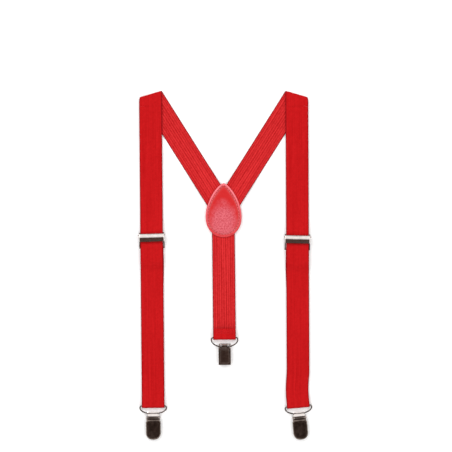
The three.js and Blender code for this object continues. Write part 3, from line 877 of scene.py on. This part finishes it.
def stitch_row(name, places, ways, up, thread, length=1.9, radius=0.24, rise=0.2):
    """Arched rods at places (n, 3) along ways (n, 3): height goes as 1 - t squared, and
    the thread thins towards its two ends."""
    t = np.linspace(-1, 1, 7)
    ring = circle(1.0, 8)
    size = radius * np.sqrt(np.clip(1.06 - t ** 2, 0.05, 1))
    ways = unit(ways)
    beside = np.cross(ways, up)
    skins = []
    for spot, way, aside in zip(places, ways, beside):
        line = spot + way * (t * length / 2)[:, None] + up * (rise * (1 - t ** 2))[:, None]
        skins.append(skin(line[:, None] + aside * (size[:, None] * ring[:, 0])[..., None]
                          + up * (size[:, None] * ring[:, 1])[..., None]))
    return piece(name, skins, thread, sharp=80.0)


seam_thread = sewing_thread("bonded seam thread", "#c9434b", "#e8868b")
tack_thread = sewing_thread("bonded tack thread", "#a80f15", "#d42a30")
SEAM_SHARE = 0.97               # how far from the outline to the seam the stitches lie
PATCH_PITCH = 3.3
line = outline * (1 - SEAM_SHARE) + seam * SEAM_SHARE
closed = np.concatenate([line, line[:1]])
walked = walk(closed)
count = round(walked[-1] / PATCH_PITCH)
spots = np.linspace(0, walked[-1], count, endpoint=False)
seam_at = np.column_stack([np.interp(spots, walked, closed[:, k]) for k in (0, 1)]) + patch_point
ahead = np.roll(seam_at, -1, axis=0) - np.roll(seam_at, 1, axis=0)
ways = np.column_stack([ahead, np.zeros(count)])
for name, height, up in [("inner_seam_stitches", patch_low[2] + 0.78, UP),
                         ("outer_seam_stitches", outer_high[2] - 0.66, -UP)]:
    made = stitch_row(name, np.column_stack([seam_at, np.full(count, height)]), ways, up,
                      seam_thread, length=2.5, radius=0.33)
    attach(made, "root")
print(count, "stitches round the patch")


TACK_HALF, TACK_PITCH = 10.8, 1.2    # half of a row, and from stitch to stitch


def tack(name, origin, side, forward, rows, height, body):
    """Zigzag rows across the webbing: stitches lean one way and then the other."""
    across_at = np.arange(-TACK_HALF, TACK_HALF + 0.1, TACK_PITCH)
    lean = np.where(np.arange(len(across_at)) % 2 == 0, 1.0, -1.0)
    places = np.concatenate([origin + side * across_at[:, None] + forward * row + UP * height
                             for row in rows])
    ways = np.concatenate([side * 0.75 + forward * lean[:, None]] * len(rows))
    made = stitch_row(name, places, ways, UP, tack_thread, length=1.6, radius=0.17,
                      rise=0.12)
    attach(made, body)


tack("back_hem_stitches", level_bar, back_square, -back_down, (8.6, 6.9, 5.2),
     back_bar[2] + BAR_BEND + TABLE_MID - 0.02, "root")
for side in ("left", "right"):
    pivot = place(f"{side}_adjuster_lever_hinge")
    square = -direction(f"{side}_adjuster_lever_hinge")
    forward = np.cross(UP, square)
    tack(f"{side}_flap_stitches", np.array([*pivot[:2], 0.0]), square, forward,
         (-FRAME_BAR - 9.5, -FRAME_BAR - 7.5), FRAME_BAR_Z + FRAME_BEND + TABLE_MID - 0.04,
         f"{side}_adjuster")

# %% [markdown]
# ## Nickel hardware
# Loops, adjusters and clips are steel wire and pressed steel sheet, plated in a barrel.
# Bright nickel is a pale warm mirror, and black nickel is a thin dark film over it. The
# barrel's tumbling leaves a faint orange peel and rub marks, so roughness and normal
# vary a little.

# %% Metal and rubber materials
def plated(name, dark, pale, roughness, wear):
    """Plated steel: a tint that drifts, a fine peel, and rubbed patches. The roughness
    is its least value plus wear times noise."""
    material, tree = new_material(name)
    spot = node(tree, "ShaderNodeTexCoord").outputs["Object"]
    tint = ramp(tree, noise(tree, spot, 1 / (6 * MM)), (0.3, linear(dark)),
                (0.7, linear(pale)))
    rubbed = noise(tree, spot, 1 / (2.2 * MM), 5.0)
    dull = maths(tree, "ADD", roughness, maths(tree, "MULTIPLY", rubbed, wear))
    return finished(material, tint, dull, metallic=1.0, relief=(0.08, 0.05, rubbed))


# Levers, front plates and pins: bright nickel on smooth sheet, so they mirror the ring.
nickel = plated("bright nickel plate", "#bfb7b3", "#d0c8c4", 0.07, 0.12)
# Adjuster frames and pins, and the back plate: a thin black film, through which the nickel glows.
dark_nickel = plated("black nickel plate", "#82746c", "#a0928a", 0.08, 0.14)
# Covers: a thicker film that fingers have rubbed, so brown-grey with paler drifts.
cover_nickel = plated("black nickel plate, handled", "#51463e", "#8b7e76", 0.09, 0.16)
# Loops and jaws: drawn wire and spring steel take the film darkest, and are duller.
wire_nickel = plated("black nickel on spring wire", "#463c37", "#5f544e", 0.12, 0.18)


def soft_rubber():
    """Rubber pressed in a blasted mould: creamy, dull all over, with a slight mottle."""
    material, tree = new_material("moulded rubber")
    spot = node(tree, "ShaderNodeTexCoord").outputs["Object"]
    cream = ramp(tree, noise(tree, spot, 1 / (1.5 * MM)), (0.0, linear("#ddd6c6")),
                 (1.0, linear("#efe9dc")))
    return finished(material, cream, 0.7)


rubber = soft_rubber()

# %% [markdown]
# ## The wire loops
# Each is a D of round wire whose two ends meet in the middle of the straight bar. A
# smooth curve through a few points gives the bar, the two tight corners and the bow.

# %% Wire loops
WIRE = 0.7                      # the wire's radius


def through(points, steps=9):
    """A Catmull-Rom curve through the points: between two points, a cubic whose ends
    head along the line between their neighbours."""
    held = np.concatenate([2 * points[:1] - points[1:2], points, 2 * points[-1:] - points[-2:-1]])
    a, b, c, d = held[:-3, None], held[1:-2, None], held[2:-1, None], held[3:, None]
    t = np.linspace(0, 1, steps, endpoint=False)[None, :, None]
    curve = 0.5 * (2 * b + (c - a) * t + (2 * a - 5 * b + 4 * c - d) * t ** 2
                   + (3 * b - a - 3 * c + d) * t ** 3)
    return np.concatenate([curve.reshape(-1, points.shape[1]), points[-1:]])


BAR_HALF = 13.0                 # half of the straight bar
CORNER_WIDE, CORNER_DEEP = 1.5, 2.2


def wire_loop(name, origin, side, depth):
    """A D of wire: its bar lies along side at the origin, and its bow is depth below."""
    bow = np.radians(np.linspace(4, 176, 17))
    bar_x = np.array([0.15, 4.0, 8.0, 11.5, BAR_HALF])
    corner = np.radians([60, 30])
    half = np.column_stack([
        np.concatenate([bar_x, BAR_HALF + CORNER_WIDE * np.cos(corner)]),
        np.concatenate([np.zeros(5), CORNER_DEEP * (np.sin(corner) - 1)])])
    points = np.concatenate([
        half,
        np.column_stack([(BAR_HALF + CORNER_WIDE) * np.cos(bow),
                         -CORNER_DEEP - (depth - CORNER_DEEP) * np.sin(bow)]),
        half[::-1] * [-1, 1]])
    line = through(points)
    path = moved(np.column_stack([line, np.zeros(len(line))]), origin, side)
    rings = carried(path, np.broadcast_to(UP, path.shape), circle(WIRE))
    made = piece(name, [skin(rings)], wire_nickel, sharp=70.0)
    stands_for(made, name.replace("_ring", "_loop"))


for side in ("left", "right", "back"):
    depth = np.linalg.norm(place(f"{side}_clip_swing") - place(f"{side}_loop_swing"))
    wire_loop(f"{side}_wire_ring", place(f"{side}_loop_swing"),
              -direction(f"{side}_loop_swing"), depth)

# %% [markdown]
# ## The clips
# A clip is a base plate with a tab that wraps the wire, a cover lever on a pin between
# the plate's ears, and a toothed jaw that the lever presses down. Both jaws have a
# rubber pad. The tab goes up behind the wire, over it and down in front, where it
# widens. All of it is drawn in the clip's own frame: y down from the wire, and z up
# from the wire's middle.

# %% Clip pieces in their own frame
SHEET = 0.8
PLATE_Z = -2.5
PIN_Y, PIN_Z = -4.5, 0.9
NECK_HALF = 6.4
TAB_HALF = 2.85
RIBBON_CORNER = 0.11            # a strip's corners, drawn in along its width


def ribbon(path, half_width, thick):
    """A bent strip of sheet, as one skin: a rounded rectangle, thick by its width,
    carried along a side-view path of (y, z)."""
    points = np.column_stack([np.zeros(len(path)), path])
    ahead = ways_of(path)
    normal = np.column_stack([np.zeros(len(path)), -ahead[:, 1], ahead[:, 0]])
    box = rectangle((-1, 1), (-1, 1), 0.3, 4)
    wide = np.where(np.abs(box[:, 0]) > 0.7,
                    np.sign(box[:, 0]) * (1 - (1 - np.abs(box[:, 0])) * RIBBON_CORNER), box[:, 0])
    section = np.column_stack([wide * half_width, np.zeros(len(box)), np.zeros(len(box))])
    return skin(points[:, None] + section[None] + normal[:, None] * (box[None, :, 1:] * thick / 2))


def base_plate(plate_half, plate_top, length, narrow, oval, tab_top):
    """The plate, its two ears, the tab round the wire, and the tab's wide open end. The
    plate is drawn from plate_top down to length, round at the end where oval, or with a
    pressed rectangle. narrow draws the ears in, and tab_top is the tab's upper edge."""
    low, high = PLATE_Z, PLATE_Z + SHEET
    radii = (4.5, 4.5, 0.9, 0.9) if oval else (1.1, 1.1, 0.9, 0.9)
    skins = [flat_plate((-plate_half, plate_half), (-length, plate_top), low, high, radii, 0.25, 8)]
    ear_x = 7.3 - narrow
    skins.append(flat_plate((-ear_x - 0.3, ear_x + 0.3), (-6.4, -3.3), low, high - 0.02, 0.5, 0.2))
    if not oval:
        skins.append(flat_plate((-4.9, 4.9), (2 - length, -2.6), low - 0.22, low + 0.3, 0.5, 0.2))
    ear = rounded([(-6.4, PLATE_Z + 0.2), (-2.7, PLATE_Z + 0.2), (-2.7, 1.6), (-3.4, 2.7),
                   (-5.6, 2.7), (-6.4, 1.6)], 0.55, 4)
    skins += [side_plate(ear, side * ear_x, SHEET / 2, 0.15) for side in (-1, 1)]
    wrap = 1.5
    over = bend(tab_top - wrap - 0.35, 0.0, wrap, -90, 90)
    tab = np.concatenate([[(-5.0, PLATE_Z + 0.45), (-2.6, PLATE_Z + 0.42), (-1.5, -wrap - 0.35),
                           (-0.6, -wrap)], over, [(0.0, wrap), (-1.2, wrap - 0.25)]])
    skins.append(ribbon(through(tab, 3), TAB_HALF, 0.7))
    window_top, window_low = tab_top - 1.0, -0.1
    upper = np.array([(tab_top - 0.1, 1.33), (tab_top - 0.5, 1.5), (window_top - 0.05, 1.68)])
    skins.append(ribbon(through(upper, 4), NECK_HALF, 0.6))
    for side in (-1, 1):
        leg = sorted((side * (NECK_HALF - 1.1), side * NECK_HALF))
        skins.append(flat_plate(leg, (window_low - 0.6, window_top + 0.4), 1.17, 1.83, 0.35, 0.2))
    lower = np.array([(window_low + 0.3, 1.5), (-0.8, 1.28), (-2.0, 0.95), (-2.9, 0.62)])
    skins.append(ribbon(through(lower, 5), NECK_HALF, 0.7))
    return skins


COVER_TIP = 8.0                 # how much of an oval cover's end is round


def cover_outline(half_width, top, end, oval):
    """The cover seen from above, anticlockwise: chamfered at the top, and round or
    nearly square at the end."""
    if not oval:
        return rectangle((-half_width, half_width), (end, top), 1.5, 8)
    t = np.linspace(0, math.pi, 41)
    walls_end = end + COVER_TIP
    tip = np.column_stack([-half_width * np.cos(t) * np.abs(np.cos(t)) ** -0.18,
                           walls_end - COVER_TIP * np.sin(t) ** 0.9])
    tip[[0, 20, -1]] = [(-half_width, walls_end), (0, end), (half_width, walls_end)]
    right = np.column_stack([np.full(6, half_width), np.linspace(walls_end, top - 1.7, 7)[1:]])
    crown = np.column_stack([np.linspace(half_width - 1.4, 1.4 - half_width, 9), np.full(9, top)])
    return np.concatenate([tip, right, crown, right[::-1] * [-1, 1]])


# A cover's section, from the top's middle to the inside's: (share of the outline, height).
SHELL = [(0.06, 2.97), (0.4, 2.965), (0.7, 2.95), (0.87, 2.92), (0.92, 2.89), (0.95, 2.82),
         (0.975, 2.66), (0.993, 2.3), (1.0, 1.8), (1.0, 0.6), (1.0, -0.4), (0.985, -0.48),
         (0.95, -0.48), (0.93, -0.4), (0.93, 1.2), (0.915, 1.7), (0.87, 1.98), (0.7, 2.12),
         (0.4, 2.2), (0.06, 2.22)]


def cover(length, narrow, oval):
    """A domed shell: the outline shrinks to its middle while the height follows SHELL,
    over the top, down the wall, round the rim and back up inside. It has a rolled bar
    along its upper edge and two lugs that the pin goes through. narrow draws it in."""
    outline_flat = cover_outline(8.15 - narrow, -7.1, -length, oval)
    centre = np.array([0.0, -(6.6 + length) / 2])
    rings = np.stack([np.column_stack([centre + (outline_flat - centre) * share,
                                       np.full(len(outline_flat), height)])
                      for share, height in SHELL])
    lug = rounded([(-9.5, 0.4), (-4.5, -0.75), (-3.0, 0.1), (-3.0, 1.9), (-4.5, 2.5),
                   (-9.5, 2.2)], 0.7, 4)
    return [skin(rings), skin(rod(7.3 - narrow, 0.9, -7.0, 2.4)),
            *[side_plate(lug, side * (6.1 - narrow), 0.38, 0.12) for side in (-1, 1)]]


def spring_jaw(length, half_width):
    """A leaf with a barrel round the pin and a row of teeth at its tip."""
    leaf = flat_plate((-half_width, half_width), (-length, -5.4), 0.6, 1.2, 0.8, 0.15, 4)
    teeth = [flat_plate((x - 0.55, x + 0.55), (-length - 0.1, -length + 0.5), 0.1, 0.8, 0.15,
                        0.1, 3)
             for x in np.linspace(0.8 - half_width, half_width - 0.8, 7)]
    return [leaf, skin(rod(half_width, 1.4, PIN_Y, PIN_Z)), *teeth]


def pad(length, half_width, low, high, up):
    """A rubber pad between two heights, with eight ribs across the side that grips: the
    top where up is 1, or the bottom where it is -1. A rib's height goes as 1 - cosine."""
    end = -length + 0.5
    y = np.linspace(end, end + 6.0, 49)
    ribs = 0.12 * (1 - np.cos(2 * math.pi * (y - end) / 0.75)) / 2
    gripping = high - 0.15 + ribs if up > 0 else low + 0.15 - ribs
    resting = np.full(len(y), low if up > 0 else high)
    profile = np.concatenate([np.column_stack([y, resting]),
                              np.column_stack([y, gripping])[::-1]])
    x = np.array([-half_width, 0.15 - half_width, half_width - 0.15, half_width])
    return [skin(swept(profile, x, np.array([0.9, 1.0, 1.0, 0.9]), np.zeros(4)))]


def put(skins, origin, side, top=UP):
    """Skins drawn in a local frame, put in place."""
    return [(moved(points, origin, side, top), faces) for points, faces in skins]


# %% [markdown]
# The two front clips lie with their covers up. The back clip is shorter and lies face
# down, so its plate shows, with the rectangle pressed into it.

# %% The three clips
for side in ("left", "right", "back"):
    hung = place(f"{side}_clip_swing")
    face_down = side == "back"
    along_wire = direction(f"{side}_clip_swing") * (1 if face_down else -1)
    top = -UP if face_down else UP
    if face_down:
        plate_half, plate_top, plate_length, tab_top = 6.75, -0.7, 19.4, 3.9
        cover_length, jaw_length, narrow = 18.6, 16.5, 1.45
    else:
        plate_half, plate_top, plate_length, tab_top = 6.5, -3.2, 26.5, 2.3
        cover_length, jaw_length, narrow = 28.3, 23.5, 0.0
    plate_skins = base_plate(plate_half, plate_top, plate_length, narrow, not face_down, tab_top)
    jaw_half = 5.3 - narrow
    for label, skins, material, slot in [
        ("clip_base_plate", plate_skins, dark_nickel if face_down else nickel,
         "dark_nickel" if face_down else "nickel"),
        ("clip_cover_lever", cover(cover_length, narrow, not face_down), cover_nickel,
         "dark_nickel"),
        ("clip_spring_jaw", spring_jaw(jaw_length, jaw_half), wire_nickel, "dark_nickel"),
        ("clip_pivot_pin", [skin(rod(8.35 - narrow, 0.7, PIN_Y, PIN_Z, 0.25))], nickel, "nickel"),
        ("clip_base_pad", pad(jaw_length, jaw_half, PLATE_Z + 1.0, PLATE_Z + 1.8, 1), rubber,
         "rubber"),
        ("clip_jaw_pad", pad(jaw_length, jaw_half, -0.4, 0.4, -1), rubber, "rubber"),
    ]:
        made = piece(f"{side}_{label.replace('clip_', 'grip_')}",
                     put(skins, hung, along_wire, top), material)
        stands_for(made, f"{side}_{label}")
    print(side, "clip made")

# %% [markdown]
# ## The adjusters
# A flat frame lies behind the strap, and a lever turns on a pin between the frame's two
# ears. The lever's plate is humped along its upper half and flat below, and its cam
# presses the strap against the frame. The plate's side view is carried across the
# strap, and drops a little at both ends, as the pressed metal does.

# %% Adjusters
FRAME_LOW, FRAME_HIGH = 1.8, 2.6
PLATE_THICK = 0.7               # the lever's sheet


def adjuster_frame(pivot_z):
    """Two bars, two rails and two ears, as plates with rounded rims."""
    bars = [((-14.0, 14.0), (-14.5, -13.1)), ((-14.0, 14.0), (0.8, 3.0))]
    rails = [((-14.0, -12.8), (-14.5, 3.0)), ((12.8, 14.0), (-14.5, 3.0))]
    ear = rounded([(-0.9, FRAME_LOW + 0.2), (0.9, FRAME_LOW + 0.2), (0.85, pivot_z + 0.5),
                   (0.4, pivot_z + 0.9), (-0.4, pivot_z + 0.9), (-0.85, pivot_z + 0.5)], 0.2, 4)
    return [flat_plate(x, y, FRAME_LOW + shift, FRAME_HIGH - shift, 0.4, 0.2, 4)
            for plates, shift in ((bars, 0.0), (rails, 0.015)) for x, y in plates] + [
        side_plate(ear, side * 13.4, 0.55, 0.15) for side in (-1, 1)]


def adjuster_lever(pivot_z):
    """The lever's plate, its cam along the pin, and the web between the two."""
    above = through(np.array([(1.95, 1.0), (1.65, 1.45), (1.05, 1.88), (0.0, 2.22), (-1.2, 2.48),
                              (-2.4, 2.68), (-3.0, 2.72), (-5.0, 2.72), (-7.0, 2.72)]), 4)
    ahead = ways_of(above)
    under = above + np.column_stack([-ahead[:, 1], ahead[:, 0]]) * PLATE_THICK
    profile = np.concatenate([above, under[::-1]]) + [0.0, pivot_z]
    ends = np.array([(12.5, 1.0, 0.0), (13.45, 1.0, 0.02), (13.72, 0.99, 0.1),
                     (13.88, 0.96, 0.28), (13.97, 0.92, 0.55), (14.0, 0.86, 0.95)])
    x, sizes, drops = np.concatenate([ends[::-1] * [-1, 1, 1], [(0.0, 1.0, 0.0)], ends]).T
    web = rectangle((-0.9, 0.9), (pivot_z + 0.1, pivot_z + 2.1), 0.2, 3)
    return [skin(swept(profile, x, sizes, drops)), skin(rod(12.3, 1.3, 0.0, pivot_z, 0.2)),
            side_plate(web, 0.0, 12.2, 0.1)]


for side in ("left", "right"):
    pivot = place(f"{side}_adjuster_lever_hinge")
    square = -direction(f"{side}_adjuster_lever_hinge")
    ground = np.array([pivot[0], pivot[1], 0.0])
    for label, skins, material, slot in [
        ("frame", adjuster_frame(pivot[2]), dark_nickel, "dark_nickel"),
        ("lever", adjuster_lever(pivot[2]), nickel, "nickel"),
        ("pivot_pin", [skin(rod(15.0, 0.6, 0.0, pivot[2], 0.25))], dark_nickel, "dark_nickel"),
    ]:
        made = piece(f"{side}_slider_{label}", put(skins, ground, square), material)
        stands_for(made, f"{side}_adjuster_{label}")
    print(side, "adjuster made")

# %% [markdown]
# ## The end

# %% Finish
bpy.context.view_layer.update()
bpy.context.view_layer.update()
